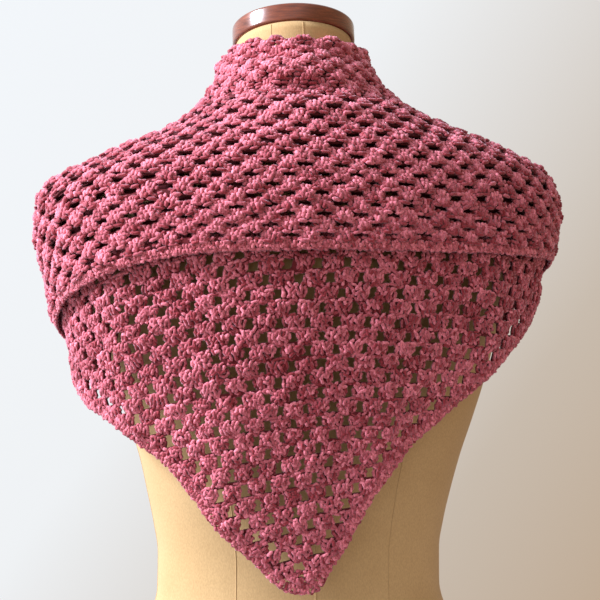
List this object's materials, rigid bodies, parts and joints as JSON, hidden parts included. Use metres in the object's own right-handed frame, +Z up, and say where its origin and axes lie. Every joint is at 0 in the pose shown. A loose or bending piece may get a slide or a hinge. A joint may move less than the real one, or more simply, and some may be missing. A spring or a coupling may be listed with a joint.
{
  "type": "shawl on dress form",
  "caption": "Triangular crocheted shawl in open clusters, long side folded out as a cape with a standing collar, worn by a limbless dress form on an oval board.",
  "frame": {"origin": "middle of the underside of the dress form's oval base board", "axes": "+Z up the form, -Y the wearer's back, +Y the open front, +X to the right as seen from behind"},
  "size_m": [0.4594, 0.2872, 0.7292],
  "materials": {
    "yarn": "soft plush chenille yarn, crocheted in open granny clusters",
    "border_yarn": "the same yarn, worked in a close border",
    "jersey": "smooth cream jersey, stretched over padding",
    "dark_wood": "dark red-brown varnish, glossy"
  },
  "bodies": {
    "root": {"folded_cape": "yarn", "back_panel": "yarn", "border_back": "border_yarn", "border_cape": "border_yarn", "form_torso": "jersey", "form_neck_cap": "dark_wood", "form_base": "dark_wood"}
  },
  "joints": []
}
